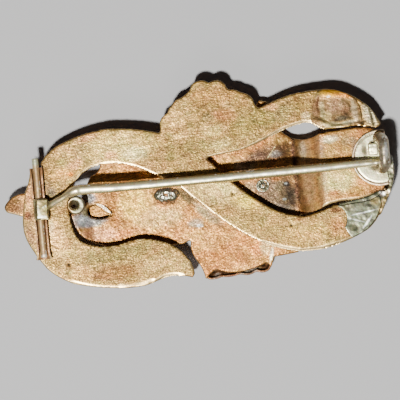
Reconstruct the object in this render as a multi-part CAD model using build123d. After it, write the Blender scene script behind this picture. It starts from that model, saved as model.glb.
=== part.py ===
from build123d import *
from collections import namedtuple
from math import cos, radians, sin, sqrt
import os

# An antique gilt brooch of two interlaced ribbons, lying on its front with its back up.
# Frame: +X runs along the closed pin from the hinge to the catch, +Y runs across towards the
# upper fan, +Z is up out of the back. The origin is on the surface, under the middle.

# Overall sizes, millimetres
LENGTH = 55.0            # from the leaf tip to the rim beyond the catch
WIDTH = 27.9             # across the two fans

# Heights
LOWER_TOP = 2.6          # back face of the lower ribbon, where it lies flat
RIBBON_STEP = 2.4        # from there up to the back face of the upper ribbon
FRONT_LIFT = 0.4         # crest of the lower front above the surface
LAYER_GAP = 0.25         # between the lower ribbon and the upper ribbon's front
PIN_RISE = 3.0           # centre of the pin's wire above the upper ribbon, behind its bend
PIN_TIP_RISE = 2.15      # centre of the pin's point above the upper ribbon

# Sheet metal
SHEET = 0.35             # back plates
WALL = 0.4               # hollow fronts
END_DEPTH = 1.9          # depth of the front under the raised end
CREST_ROUND = 0.8        # rounding between a front's side and its crest
CREST_STEPS = 4
SEAM = 0.05              # gap between pieces that lie against each other
PASSAGE = 0.2            # room round the leaf where it passes through the upper front

# Repairs and damage
PATCH_SHEET = 0.12       # sheet soldered over the right arm
SOLDER_SKIN = 0.16       # solder run out over the lower right end
LIP_HEIGHT = 0.35        # bent edge of the tear above the lower ribbon

# Hinge
ROD_RADIUS = 0.46
RUNNING = 0.04           # clearance round the rod, on the radius
TROUGH_WALL = 0.38
TROUGH_MOUTH = 1.3       # width of a trough's open side
KNUCKLE_WALL = 0.38
KNUCKLE_TOP = 1.1        # flat top of the knuckle above the rod's centre
KNUCKLE_FOOT = 0.6       # flat foot of the knuckle below the rod's centre
KNUCKLE_REACH = 1.3      # from the rod's centre to the stem's side
KNUCKLE_PLAY = 0.12      # gap between the knuckle and each trough

# Pin
STEM_RADIUS = 0.59
STEM_BEND = 2.2          # radius of the bends beside the knuckle
TIP_RADIUS = 0.3
TIP_LENGTH = 9.5         # tapered end of the stem

# Catch
DISC_RADIUS = 3.95
DISC_SHEET = 0.4
HOOK_RADIUS = 0.7
HOOK_SPAN = 4.65         # between the arch's two legs, centre to centre
HOOK_BEND = 1.55
HOOK_ROOM = 0.55         # from the pin's point up to the arch
HOOK_SIDE = 0.2          # from the pin's point to the hook's leg
MOUTH_ROOM = 0.35        # play of the pin's point in the hook's mouth
TAB_LENGTH = 1.4
TAB_WIDTH = 1.7
TAB_HEIGHT = 0.85

# Ring for a safety chain
RING_RADIUS = 1.2
RING_BORE = 0.7
RING_HEIGHT = 0.95

# Garnets, length by width, and their collets
CENTRE_STONE = (7.0, 8.0)
SIDE_STONE = (4.4, 4.4)
STONE_SIDES = 12
STONE_TABLE = 0.6        # table's share of the girdle
STONE_POINT = 0.35       # share of the girdle left at the stone's back
STONE_CROWN = 0.5
STONE_GIRDLE = 0.12
STONE_FIT = 0.05         # gap between a stone and its collet
COLLET_WALL = 0.4
COLLET_FLOOR = 0.5
COLLET_LIP = 0.2         # lip of the collet past the stone's girdle
COLLET_SPACE = 0.2       # between neighbouring collets
POST_RADIUS = 0.5
RIVET_RADIUS = 0.85
RIVET_HEAD = 0.18
RIVET_DOME = 0.42
BLOB_LENGTH = 3.6        # solder over the left post
BLOB_WIDTH = 1.9
BLOB_HEIGHT = 0.62

# Places are percent of LENGTH and WIDTH, measured from the middle of the brooch.
# Each Run is one stretch of an outline: its end, and for an arc the point that it passes.
Run = namedtuple("Run", "via_along via_across along across")


def line_to(along, across):
    return Run(None, None, along, across)


UPPER_BAND = [
    Run(-15.5, 29.0, -22.5, 30.3),
    Run(-29.0, 28.4, -34.0, 25.1),
    Run(-38.0, 20.3, -39.8, 16.0),
    line_to(-39.4, 14.0),
    line_to(-42.6, 13.2),
    Run(-43.4, 7.0, -44.5, 2.0),
    Run(-45.2, -5.0, -45.7, -12.0),
    Run(-45.5, -19.0, -44.1, -26.0),
    Run(-42.6, -31.2, -40.6, -37.0),
    Run(-37.6, -42.0, -33.8, -46.0),
    Run(-29.5, -48.1, -25.0, -49.5),
    Run(-20.0, -50.4, -16.0, -50.0),
    Run(-13.4, -48.6, -11.0, -46.7),
    Run(-8.0, -46.2, -5.0, -47.4),
    line_to(-3.8, -48.1),
    line_to(-3.1, -46.3),
]
UPPER_LEFT_LOOP = [
    Run(-3.6, -42.0, -5.0, -37.5),
    Run(-7.4, -32.3, -11.0, -28.6),
    Run(-15.5, -26.7, -20.0, -27.5),
    Run(-25.0, -28.9, -29.5, -26.9),
    Run(-32.1, -23.3, -33.1, -18.5),
    Run(-33.8, -9.0, -33.0, 0.0),
    Run(-31.6, 5.2, -29.0, 10.0),
    Run(-26.0, 12.4, -22.5, 13.3),
    Run(-17.5, 11.6, -13.0, 7.7),
    Run(-8.6, 2.9, -4.7, -2.0),
]
UPPER_DIAGONAL = [
    Run(0.0, -11.1, 5.0, -20.2),
    Run(10.0, -27.8, 15.0, -33.8),
    Run(19.5, -37.6, 24.5, -39.9),
    Run(29.0, -40.2, 34.0, -38.3),
    Run(38.0, -35.8, 42.0, -32.2),
    Run(44.8, -26.4, 46.3, -20.0),
    line_to(46.1, -15.8),
    line_to(45.2, -15.2),
    Run(43.2, -16.8, 40.0, -17.7),
    line_to(33.8, -18.6),
]
UPPER_RIGHT_LOOP = [
    Run(30.0, -21.1, 26.0, -22.7),
    Run(22.0, -20.8, 18.0, -17.2),
    Run(13.5, -10.9, 9.0, -3.0),
    Run(5.6, 4.2, 2.4, 11.2),
    Run(7.0, 12.3, 11.0, 13.2),
    Run(15.0, 15.4, 19.0, 18.6),
    Run(23.5, 22.2, 28.0, 24.3),
    line_to(29.8, 24.0),
    Run(31.2, 22.0, 33.2, 19.8),
    Run(37.0, 20.2, 41.5, 20.4),
    Run(44.2, 19.3, 46.4, 18.1),
]
UPPER_ARM = [
    line_to(47.7, 19.7),
    Run(46.9, 23.0, 45.3, 28.5),
    Run(42.4, 33.6, 38.5, 37.9),
    Run(35.0, 39.9, 31.5, 39.9),
    Run(25.0, 38.7, 19.5, 35.3),
    line_to(17.0, 33.6),
]
UPPER_FAN = [
    Run(16.1, 35.6, 15.9, 37.5),
    Run(14.9, 40.3, 12.7, 42.3),
    Run(11.6, 43.7, 9.8, 44.2),
    Run(9.3, 45.4, 9.1, 46.8),
    Run(7.3, 49.5, 5.0, 48.5),
    Run(2.5, 50.2, 0.3, 48.0),
    Run(0.0, 46.3, -1.2, 44.1),
    Run(-2.1, 42.8, -3.0, 42.1),
    Run(-4.3, 40.9, -5.1, 39.0),
    Run(-5.9, 37.2, -6.2, 35.6),
    line_to(-7.0, 34.6),
    Run(-8.3, 32.2, -8.5, 29.5),
    line_to(-8.5, 25.7),
]
UPPER_OUTLINE = (
    UPPER_BAND + UPPER_LEFT_LOOP + UPPER_DIAGONAL + UPPER_RIGHT_LOOP + UPPER_ARM + UPPER_FAN
)

LOWER_LEAF = [
    Run(-47.6, 0.8, -49.6, -2.5),
    Run(-50.0, -4.8, -49.2, -7.2),
    Run(-47.4, -8.4, -45.0, -10.2),
    line_to(-33.4, -11.8),
]
LOWER_LEFT = [
    Run(-32.7, -16.6, -31.6, -21.4),
    Run(-29.2, -25.0, -26.2, -27.6),
    line_to(-24.0, -30.2),
    line_to(-10.0, -30.9),
    line_to(-5.4, -31.0),
    line_to(-3.3, -29.1),
]
LOWER_FAN = [
    Run(-3.5, -35.0, -2.6, -39.2),
    Run(-1.4, -43.6, -0.5, -50.0),
    line_to(0.6, -47.5),
    line_to(2.3, -45.1),
    Run(4.3, -46.9, 7.3, -47.8),
    Run(11.2, -46.9, 15.5, -44.1),
    line_to(16.4, -47.2),
    line_to(17.5, -41.6),
    line_to(23.9, -40.6),
    line_to(24.4, -23.6),
]
LOWER_END = [
    line_to(25.2, -21.8),
    Run(28.0, -21.2, 31.7, -18.4),
    Run(33.6, -17.5, 39.0, -16.8),
    Run(42.6, -15.9, 45.0, -13.9),
    line_to(46.8, -13.4),
    Run(47.9, -5.0, 47.9, 4.0),
    Run(47.6, 12.0, 46.2, 17.3),
    Run(44.0, 18.7, 41.0, 19.3),
    Run(36.0, 18.7, 31.6, 18.0),
    Run(28.0, 16.0, 24.0, 18.0),
    line_to(21.5, 22.0),
]
LOWER_UNDER_FAN = [
    line_to(20.0, 34.0),
    line_to(19.3, 36.6),
    line_to(17.2, 37.6),
    Run(11.0, 24.6, -2.0, 18.4),
    Run(-12.0, 16.0, -22.0, 16.2),
    Run(-24.2, 15.2, -24.8, 12.6),
    Run(-25.3, 10.0, -27.2, 7.8),
    Run(-28.7, 3.0, -29.1, -1.4),
    Run(-28.7, -4.2, -29.3, -7.2),
    line_to(-33.4, -7.6),
    line_to(-38.0, -1.0),
    line_to(-44.0, 1.9),
]
LOWER_OUTLINE = LOWER_LEAF + LOWER_LEFT + LOWER_FAN + LOWER_END + LOWER_UNDER_FAN

# Edge-on line of the lower ribbon: place along, and height as a share of the ribbon step.
# It rises under the upper ribbon to the leaf, and dips before it rises to the catch.
Level = namedtuple("Level", "along step")
LEAF_BEND_ALONG = -28.0
LOWER_LEVELS = [
    Level(-52.0, 0.70),
    Level(-41.0, 0.68),
    Level(LEAF_BEND_ALONG, 0.0),
    Level(20.5, 0.0),
    Level(25.0, -0.10),
    Level(31.4, 1.0),
    Level(52.0, 1.0),
]
LEVEL_BEND = 1.6         # radius of the bends in the lower ribbon

TEAR = [
    Run(-28.2, -7.7, -26.7, -7.5),
    line_to(-25.5, -9.8),
    line_to(-23.2, -13.3),
    Run(-25.6, -14.3, -28.0, -13.4),
    Run(-28.9, -12.0, -28.9, -9.0),
]
TEAR_LIP = [
    Run(-24.4, -8.4, -23.0, -12.8),
    line_to(-23.5, -13.2),
    Run(-25.0, -9.6, -27.0, -7.2),
]

LOWER_FRONT = [
    Run(-30.6, -19.5, -27.2, -25.4),
    line_to(-24.0, -29.2),
    line_to(-6.0, -30.0),
    line_to(-2.9, -29.6),
    Run(-2.8, -37.0, -0.9, -44.0),
    line_to(-0.3, -49.9),
    Run(1.6, -50.5, 3.6, -49.5),
    Run(6.2, -49.9, 8.4, -49.0),
    Run(10.8, -49.9, 12.6, -48.3),
    Run(14.4, -49.4, 16.2, -47.9),
    line_to(17.3, -42.0),
    line_to(23.4, -40.8),
    Run(23.8, -10.0, 22.0, 15.6),
    Run(20.8, 19.0, 18.0, 20.0),
    Run(7.0, 16.4, -4.0, 15.2),
    Run(-12.0, 14.2, -20.5, 14.2),
    Run(-23.4, 13.0, -24.4, 10.0),
    Run(-27.2, 4.0, -28.0, -3.6),
    Run(-30.0, -8.0, -31.0, -13.5),
]

END_FRONT = [
    Run(39.5, -15.4, 44.6, -12.6),
    line_to(46.9, -13.2),
    line_to(47.3, -18.0),
    Run(49.5, -10.0, 50.0, -1.0),
    line_to(49.9, 3.2),
    line_to(47.6, 5.5),
    Run(47.3, 11.5, 45.8, 16.2),
    Run(39.0, 18.0, 33.0, 17.0),
    line_to(33.0, -16.4),
]

PATCH = [
    Run(30.9, 33.0, 32.3, 39.7),
    Run(36.4, 39.3, 40.9, 34.9),
    line_to(42.0, 33.0),
    Run(42.9, 27.0, 42.8, 20.6),
    Run(37.0, 20.6, 33.4, 20.1),
    Run(31.4, 22.2, 29.9, 24.2),
]

SOLDER = [
    Run(36.6, -24.0, 36.0, -30.0),
    Run(36.6, -33.0, 37.6, -35.6),
    Run(40.0, -33.9, 41.8, -32.0),
    Run(44.5, -26.4, 46.0, -20.2),
    line_to(45.8, -16.2),
    line_to(45.2, -15.7),
    Run(43.2, -17.2, 40.0, -18.1),
    line_to(34.4, -19.0),
]

# Single places, along and across
ROD_ALONG = -41.0
ROD_ENDS = (-31.0, 18.9)
LOWER_TROUGH_ENDS = (-32.0, -12.6)
KNUCKLE_ENDS = (-12.6, -1.0)
UPPER_TROUGH_ENDS = (-1.0, 14.0)
STEM_ROOT_ACROSS = -5.8
STEM_ELBOW = (-36.4, -2.4)
STEM_STRAIGHT = (-31.6, 0.6)
DISC_PLACE = (46.5, 3.0)
DISC_TRIM_ALONG = 48.3
HOOK_ALONG = 47.8
TAB_PLACE = (45.1, 7.4)
RING_PLACE = (-31.75, -6.3)
CENTRE_STONE_PLACE = (3.85, -5.5)

# Values worked out from the sizes above
UPPER_TOP = LOWER_TOP + RIBBON_STEP
UPPER_SEAT = UPPER_TOP - SHEET - SEAM
LOWER_SEAT = LOWER_TOP - SHEET - SEAM
ON_UPPER = UPPER_TOP + SEAM
ON_LOWER = LOWER_TOP + SEAM
ROD_HEIGHT = ON_UPPER + TROUGH_WALL + RUNNING + ROD_RADIUS
COLLET_BED = LOWER_SEAT - COLLET_FLOOR
STONE_BACK = COLLET_BED - STONE_FIT
STONE_PITCH = (CENTRE_STONE[0] + SIDE_STONE[0]) / 2 + 2 * (STONE_FIT + COLLET_WALL) + COLLET_SPACE
SKY = UPPER_TOP + LENGTH  # above everything, for cutting right through


def place(along, across, height=0.0):
    return Vector(along / 100 * LENGTH, across / 100 * WIDTH, height)


def outline(runs):
    """Closed wire through a table of runs, which begins where the last run ends."""
    edges = []
    last = place(runs[-1].along, runs[-1].across)
    for run in runs:
        here = place(run.along, run.across)
        if run.via_along is None:
            edges.append(Line(last, here))
        else:
            edges.append(ThreePointArc(last, place(run.via_along, run.via_across), here))
        last = here
    return Wire(edges)


def slab(wire, low, high):
    """The outline as a plate between two heights."""
    return Pos(0, 0, low) * extrude(make_face(wire), amount=high - low)


def shrunk(wire, inset):
    return wire.offset_2d(-inset, kind=Kind.ARC)


def edge_line(shift):
    """Edge-on line of the lower ribbon, moved up by a distance."""
    points = []
    for level in LOWER_LEVELS:
        height = LOWER_TOP + level.step * RIBBON_STEP + shift
        points.append((level.along / 100 * LENGTH, 0, height))
    return FilletPolyline(*points, radius=LEVEL_BEND)


def ribbon_band(above, below):
    """All that lies between two lines that follow the lower ribbon edge-on."""
    top = edge_line(above)
    bottom = edge_line(-below)
    ends = [Line(top @ 1, bottom @ 1), Line(bottom @ 0, top @ 0)]
    side = make_face(Wire(top.edges() + bottom.edges() + ends))
    return extrude(side, amount=WIDTH, dir=(0, 1, 0), both=True)


def hollow_front(wire, top, depth):
    """Hollow cushion under a plate, open at the back, its crest rounded off in fine steps."""
    crest = top - depth
    rise = CREST_ROUND / CREST_STEPS
    shell = slab(wire, crest + CREST_ROUND - rise, top)
    for step in range(1, CREST_STEPS):
        share = (step + 0.5) / CREST_STEPS
        inset = CREST_ROUND * (1 - sqrt(1 - share ** 2))
        low = crest + CREST_ROUND - rise * (step + 1)
        shell += slab(shrunk(wire, inset), low, low + rise)
    shell -= slab(shrunk(wire, WALL), crest + CREST_ROUND, top)
    return shell - slab(shrunk(wire, WALL + inset), crest + WALL, crest + CREST_ROUND)


def upright(radius, low, high):
    """Round bar that stands between two heights."""
    return Pos(0, 0, (low + high) / 2) * Cylinder(radius, high - low)


def crosswise(radius, ends):
    """Round bar on the rod's axis between two places across."""
    first, last = [place(0, end).Y for end in ends]
    bar = Rot(90, 0, 0) * Cylinder(radius, last - first)
    return Pos(place(ROD_ALONG, 0).X, (first + last) / 2, ROD_HEIGHT) * bar


def oval(size, grow, low, high):
    """Upright oval bar, larger than a stone by grow all round."""
    face = make_face(Ellipse(size[0] / 2 + grow, size[1] / 2 + grow).edges())
    return Pos(0, 0, low) * extrude(face, amount=high - low)


def facet_ring(size, share, height):
    """One level of a cut stone, a polygon with the girdle's proportions."""
    points = []
    for number in range(STONE_SIDES):
        turn = radians(360 * (number + 0.5) / STONE_SIDES)
        points.append((size[0] / 2 * share * cos(turn), size[1] / 2 * share * sin(turn), height))
    return make_face(Polyline(*points, close=True))


def cut_stone(size):
    """Garnet with its table on the surface and its back up in the collet."""
    girdle_top = STONE_CROWN + STONE_GIRDLE
    levels = [(STONE_TABLE, 0.0), (1.0, STONE_CROWN), (1.0, girdle_top), (STONE_POINT, STONE_BACK)]
    rings = [facet_ring(size, share, height) for share, height in levels]
    layers = [loft([low, high], ruled=True) for low, high in zip(rings, rings[1:])]
    return layers[0] + layers[1] + layers[2]


def collet(size, post_top):
    """Cup round a stone, with its post standing up through the lower ribbon."""
    rim = STONE_CROWN - COLLET_LIP
    cup = oval(size, STONE_FIT + COLLET_WALL, rim, LOWER_SEAT)
    cup -= oval(size, STONE_FIT, rim, COLLET_BED)
    return cup + upright(POST_RADIUS, COLLET_BED, post_top)


def rivet_end():
    """Hammered end of a post, with a small dome on it."""
    head = upright(RIVET_RADIUS, ON_LOWER, ON_LOWER + RIVET_HEAD)
    return head + Pos(0, 0, ON_LOWER + RIVET_HEAD) * Sphere(RIVET_DOME)


def solder_end():
    """Lump of solder over a post."""
    lump = scale(Sphere(1), by=(BLOB_LENGTH / 2, BLOB_WIDTH / 2, BLOB_HEIGHT))
    lump -= Pos(0, 0, -BLOB_HEIGHT) * Box(2 * BLOB_LENGTH, 2 * BLOB_WIDTH, 2 * BLOB_HEIGHT)
    return Pos(0, 0, ON_LOWER) * lump


def stone_seats():
    centre = place(*CENTRE_STONE_PLACE)
    return [Pos(centre.X + side * STONE_PITCH, centre.Y, 0) for side in (-1, 0, 1)]


def make_upper_plate():
    plate = slab(outline(UPPER_OUTLINE), UPPER_TOP - SHEET, UPPER_TOP)
    sunk = UPPER_TOP - SHEET / 2
    plate += slab(outline(PATCH), sunk, UPPER_TOP + PATCH_SHEET)
    return plate + slab(outline(SOLDER), sunk, UPPER_TOP + SOLDER_SKIN)


def make_upper_front():
    depth = UPPER_SEAT - LOWER_TOP - LAYER_GAP
    shell = hollow_front(outline(UPPER_OUTLINE), UPPER_SEAT, depth)
    leaf = slab(shrunk(outline(LOWER_OUTLINE), -PASSAGE), 0, SKY)
    leaf &= Pos(place(LEAF_BEND_ALONG, 0).X - LENGTH / 2, 0, 0) * Box(LENGTH, 2 * WIDTH, 2 * SKY)
    return shell - (leaf & ribbon_band(RIBBON_STEP, SHEET + PASSAGE))


def make_lower_plate():
    plate = slab(outline(LOWER_OUTLINE), 0, SKY) & ribbon_band(0, SHEET)
    plate -= slab(outline(TEAR), 0, SKY)
    plate += slab(outline(TEAR_LIP), LOWER_TOP - SHEET / 2, LOWER_TOP + LIP_HEIGHT)
    for seat in stone_seats():
        plate -= seat * upright(POST_RADIUS + SEAM, 0, SKY)
    return plate


def make_lower_front():
    shell = hollow_front(outline(LOWER_FRONT), LOWER_SEAT, LOWER_SEAT - FRONT_LIFT)
    shell -= ribbon_band(UPPER_TOP, SHEET + SEAM)
    for seat, size in zip(stone_seats(), (SIDE_STONE, CENTRE_STONE, SIDE_STONE)):
        shell -= seat * oval(size, STONE_FIT + COLLET_WALL + SEAM, 0, LOWER_TOP)
    return shell


def make_end_front():
    return hollow_front(outline(END_FRONT), UPPER_SEAT, END_DEPTH)


def make_trough(ends):
    """Rolled trough that holds the rod, open along its top."""
    bore = ROD_RADIUS + RUNNING
    outside = bore + TROUGH_WALL
    trough = crosswise(outside, ends) - crosswise(bore, ends)
    half = TROUGH_MOUTH / 2
    wedge = make_face(Polyline((0, 0, 0), (half, 0, outside), (-half, 0, outside), close=True))
    rod_line = place(ROD_ALONG, 0, ROD_HEIGHT)
    return trough - Pos(*rod_line) * extrude(wedge, amount=WIDTH, dir=(0, 1, 0), both=True)


def make_pin():
    """Knuckle on the rod and the stem soldered into it, one moving piece."""
    bore = ROD_RADIUS + RUNNING
    play = KNUCKLE_PLAY / WIDTH * 100
    ends = (KNUCKLE_ENDS[0] + play, KNUCKLE_ENDS[1] - play)
    first, last = [place(0, end).Y for end in ends]
    rod_line = place(ROD_ALONG, 0, ROD_HEIGHT)
    block = Box(KNUCKLE_REACH, last - first, KNUCKLE_TOP + KNUCKLE_FOOT)
    lift = (KNUCKLE_TOP - KNUCKLE_FOOT) / 2
    block = Pos(rod_line.X + KNUCKLE_REACH / 2, (first + last) / 2, ROD_HEIGHT + lift) * block
    knuckle = crosswise(bore + KNUCKLE_WALL, ends) + block

    root = place(0, STEM_ROOT_ACROSS, ROD_HEIGHT + KNUCKLE_TOP - STEM_RADIUS)
    root.X = rod_line.X + KNUCKLE_REACH - STEM_RADIUS / 2
    behind = place(*STEM_STRAIGHT, UPPER_TOP + PIN_RISE)
    elbow = place(*STEM_ELBOW, (root.Z + behind.Z) / 2)
    tip = pin_tip()
    along = (tip - behind).normalized()
    shoulder = tip - along * TIP_LENGTH
    path = FilletPolyline(root, elbow, behind, shoulder, radius=STEM_BEND)
    stem = sweep(Plane(origin=root, z_dir=path % 0) * Circle(STEM_RADIUS), path=path)
    thick_end = Plane(origin=shoulder, z_dir=along) * Circle(STEM_RADIUS)
    thin_end = Plane(origin=tip, z_dir=along) * Circle(TIP_RADIUS)
    point = loft([thick_end, thin_end]) + Pos(*tip) * Sphere(TIP_RADIUS)
    return knuckle + stem + point - crosswise(bore, ends)


def pin_tip():
    tip = place(HOOK_ALONG, STEM_STRAIGHT[1], UPPER_TOP + PIN_TIP_RISE)
    return Vector(tip.X + HOOK_RADIUS - TIP_RADIUS, tip.Y, tip.Z)


def make_catch():
    """Disc, hook and tab, soldered together into one piece."""
    top = ON_UPPER + DISC_SHEET
    centre = place(*DISC_PLACE)
    disc = Pos(centre.X, centre.Y, 0) * upright(DISC_RADIUS, ON_UPPER, top)
    trim = place(DISC_TRIM_ALONG, 0).X
    disc -= Pos(trim + DISC_RADIUS, centre.Y, top) * Box(2 * DISC_RADIUS, 2 * DISC_RADIUS, 2 * DISC_SHEET)

    tip = pin_tip()
    x = place(HOOK_ALONG, 0).X
    root_y = tip.Y - TIP_RADIUS - HOOK_SIDE - HOOK_RADIUS
    arch = tip.Z + TIP_RADIUS + HOOK_ROOM + HOOK_RADIUS
    mouth = top + 2 * TIP_RADIUS + MOUTH_ROOM
    route = [
        (x, root_y, top - DISC_SHEET / 2),
        (x, root_y, arch),
        (x, root_y + HOOK_SPAN, arch),
        (x, root_y + HOOK_SPAN, mouth),
    ]
    path = FilletPolyline(*route, radius=HOOK_BEND)
    hook = sweep(Plane(origin=route[0], z_dir=(0, 0, 1)) * Circle(HOOK_RADIUS), path=path)

    tab_place = place(*TAB_PLACE, top)
    tab = Pos(*tab_place) * Box(TAB_LENGTH, TAB_WIDTH, 2 * TAB_HEIGHT)
    tab -= Pos(tab_place.X, tab_place.Y, ON_UPPER - TAB_HEIGHT) * Box(TAB_LENGTH, TAB_WIDTH, 2 * TAB_HEIGHT)
    return disc + hook + tab


def make_ring():
    top = ON_UPPER + RING_HEIGHT
    ring = upright(RING_RADIUS, ON_UPPER, top) - upright(RING_BORE, ON_UPPER, top)
    return Pos(*place(*RING_PLACE)) * ring


def make_settings():
    """Each garnet with its collet: soldered at the left, filed flush behind, riveted at the right."""
    left, centre, right = stone_seats()
    return {
        "left_collet": left * (collet(SIDE_STONE, ON_LOWER) + solder_end()),
        "left_garnet": left * cut_stone(SIDE_STONE),
        "centre_collet": centre * collet(CENTRE_STONE, LOWER_TOP),
        "centre_garnet": centre * cut_stone(CENTRE_STONE),
        "right_collet": right * (collet(SIDE_STONE, ON_LOWER) + rivet_end()),
        "right_garnet": right * cut_stone(SIDE_STONE),
    }


parts = {
    "upper_plate": make_upper_plate(),
    "upper_front": make_upper_front(),
    "lower_plate": make_lower_plate(),
    "lower_front": make_lower_front(),
    "end_front": make_end_front(),
    "hinge_trough_upper": make_trough(UPPER_TROUGH_ENDS),
    "hinge_trough_lower": make_trough(LOWER_TROUGH_ENDS),
    "hinge_rod": crosswise(ROD_RADIUS, ROD_ENDS),
    "pin": make_pin(),
    "catch": make_catch(),
    "chain_ring": make_ring(),
}
parts.update(make_settings())

os.makedirs("parts", exist_ok=True)
for name, shape in parts.items():
    print(name, "solids", len(shape.solids()), "volume", round(shape.volume, 3))
    export_step(shape, "parts/" + name + ".step")
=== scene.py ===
# %% [markdown]
# # An antique brooch, seen from its back
# The brooch lies on its front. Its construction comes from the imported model, in metres, and
# stays where it is. This lesson dresses it: worn sheet metal, a nickel pin, solder and garnets.

# %% Load the construction
from math import pi, radians

import bpy
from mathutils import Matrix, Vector
from mathutils.bvhtree import BVHTree


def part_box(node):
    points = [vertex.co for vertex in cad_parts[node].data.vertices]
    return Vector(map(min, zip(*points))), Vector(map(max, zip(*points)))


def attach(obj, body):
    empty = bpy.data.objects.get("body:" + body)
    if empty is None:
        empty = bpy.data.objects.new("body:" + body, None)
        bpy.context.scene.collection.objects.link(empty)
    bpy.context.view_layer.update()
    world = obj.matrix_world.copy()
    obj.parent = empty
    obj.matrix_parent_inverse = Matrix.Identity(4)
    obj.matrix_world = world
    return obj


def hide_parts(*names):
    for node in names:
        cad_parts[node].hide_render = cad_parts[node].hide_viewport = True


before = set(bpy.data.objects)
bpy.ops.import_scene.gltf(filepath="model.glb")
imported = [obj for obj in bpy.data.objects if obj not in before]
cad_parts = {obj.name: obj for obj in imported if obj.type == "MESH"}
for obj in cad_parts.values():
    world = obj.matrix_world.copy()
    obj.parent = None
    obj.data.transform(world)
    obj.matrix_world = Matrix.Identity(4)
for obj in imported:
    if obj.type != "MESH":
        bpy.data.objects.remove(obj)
bpy.ops.object.select_all(action="DESELECT")
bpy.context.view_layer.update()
MM = 0.001

# %% [markdown]
# ## Camera
# The photograph looks straight down on the brooch, which lies turned by a few degrees.

# %% Camera
PICTURE_WIDTH = 56.15 * MM
CAMERA_HEIGHT = 0.6
LOOK_HEIGHT = 4.5 * MM
PICTURE_TURN = radians(5.4)
PICTURE_MIDDLE = (-0.07 * MM, -2.7 * MM)

bpy.ops.object.camera_add(location=(*PICTURE_MIDDLE, CAMERA_HEIGHT), rotation=(0, 0, -PICTURE_TURN))
camera = bpy.context.object
camera.name = "camera"
camera.data.lens = camera.data.sensor_width * (CAMERA_HEIGHT - LOOK_HEIGHT) / PICTURE_WIDTH
camera.data.clip_start = 0.01
bpy.context.scene.camera = camera

# %% [markdown]
# ## Bench tools
# A few steps come back for every piece: hold it alone, apply its modifiers, shade it, and say
# which body it rides on and which plain piece it stands for.


# %% Holding and finishing a piece
def hold(piece):
    """Makes one piece the only thing selected, and the active one."""
    bpy.ops.object.select_all(action="DESELECT")
    piece.select_set(True)
    bpy.context.view_layer.objects.active = piece


def started(name, add, stretch=(1.0, 1.0, 1.0), **settings):
    """Adds a basic shape by itself, names and stretches it, and puts its place into its mesh."""
    bpy.ops.object.select_all(action="DESELECT")
    add(**settings)
    piece = bpy.context.object
    piece.name = name
    piece.scale = stretch
    bpy.ops.object.transform_apply(location=True, rotation=True, scale=True)
    return piece


def apply_modifiers(piece):
    hold(piece)
    for modifier in list(piece.modifiers):
        bpy.ops.object.modifier_apply(modifier=modifier.name)


def edit_all(piece):
    """Enters edit mode with all of a piece selected."""
    hold(piece)
    bpy.ops.object.mode_set(mode="EDIT")
    bpy.ops.mesh.select_all(action="SELECT")


def end_edit():
    bpy.ops.object.mode_set(mode="OBJECT")


def pull(distance):
    """Pulls a copy of what is selected away from it, joined by new faces."""
    bpy.ops.mesh.extrude_region_move(TRANSFORM_OT_translate={"value": distance})


def saw_off(piece, place, facing):
    """Cuts off what lies beyond a plane, on the side that it faces, and closes the cut."""
    edit_all(piece)
    bpy.ops.mesh.bisect(plane_co=place, plane_no=facing, clear_outer=True, use_fill=True)
    end_edit()


def pick(piece, kind, wanted):
    """Enters edit mode with only the wanted faces or edges of a piece selected."""
    hold(piece)
    bpy.ops.object.mode_set(mode="EDIT")
    bpy.ops.mesh.select_mode(type=kind)
    bpy.ops.mesh.select_all(action="DESELECT")
    bpy.ops.object.mode_set(mode="OBJECT")
    parts = piece.data.polygons if kind == "FACE" else piece.data.edges
    picked = 0
    for part in parts:
        part.select = wanted(part)
        picked += part.select
    bpy.ops.object.mode_set(mode="EDIT")
    print("picked", picked, kind.lower(), "parts of", piece.name)


def faces_up(face):
    return face.normal.z > 0.9


def settle(piece):
    """Puts a piece's place into its mesh, with its faces outwards and shaded smooth."""
    hold(piece)
    bpy.ops.object.transform_apply(location=True, rotation=True, scale=True)
    edit_all(piece)
    bpy.ops.mesh.normals_make_consistent(inside=False)
    end_edit()
    bpy.ops.object.shade_smooth_by_angle(angle=radians(50))


def smooth(piece):
    """Shades a piece smooth all over, as suits one whose edges are worn round."""
    hold(piece)
    bpy.ops.object.shade_smooth()


def hand_over(piece, slot, *nodes, body="brooch"):
    """The piece rides on a body and stands for the plain nodes, which are hidden. The slot is not used."""
    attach(piece, body)
    if nodes:
        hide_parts(*nodes)
    print(piece.name, "has", len(piece.data.polygons), "faces")


# %% [markdown]
# ## Working metal
# Real sheet metal is never quite flat. A merged copy of the construction is given small even
# faces by a voxel remesh, its edges are worn round by smoothing, and shallow waves are beaten
# into it by displacement. This keeps the outline that was drawn and adds the hand work. Grain,
# sizes and depths are given in millimetres.


# %% Copying and beating
MERGE_DISTANCE = 0.0005 * MM


def copy_of(node, name):
    """Merged copy of a construction node, to be worked as a piece of its own."""
    piece = bpy.data.objects.new(name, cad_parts[node].data.copy())
    bpy.context.scene.collection.objects.link(piece)
    piece.data.materials.clear()
    edit_all(piece)
    bpy.ops.mesh.remove_doubles(threshold=MERGE_DISTANCE)
    end_edit()
    return piece


def regrain(piece, grain, wear=3):
    """Small even faces, then edges worn round by a number of smoothing rounds."""
    hold(piece)
    bpy.ops.object.modifier_add(type="REMESH")
    remesh = piece.modifiers[-1]
    remesh.mode = "VOXEL"
    remesh.voxel_size = grain * MM
    bpy.ops.object.modifier_add(type="SMOOTH")
    piece.modifiers[-1].factor = 0.5
    piece.modifiers[-1].iterations = wear
    apply_modifiers(piece)


def bevel(piece, width, segments):
    """Rounds a piece's edges, on top of the modifiers that it already has."""
    hold(piece)
    bpy.ops.object.modifier_add(type="BEVEL")
    piece.modifiers[-1].width = width * MM
    piece.modifiers[-1].segments = segments
    apply_modifiers(piece)


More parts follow.
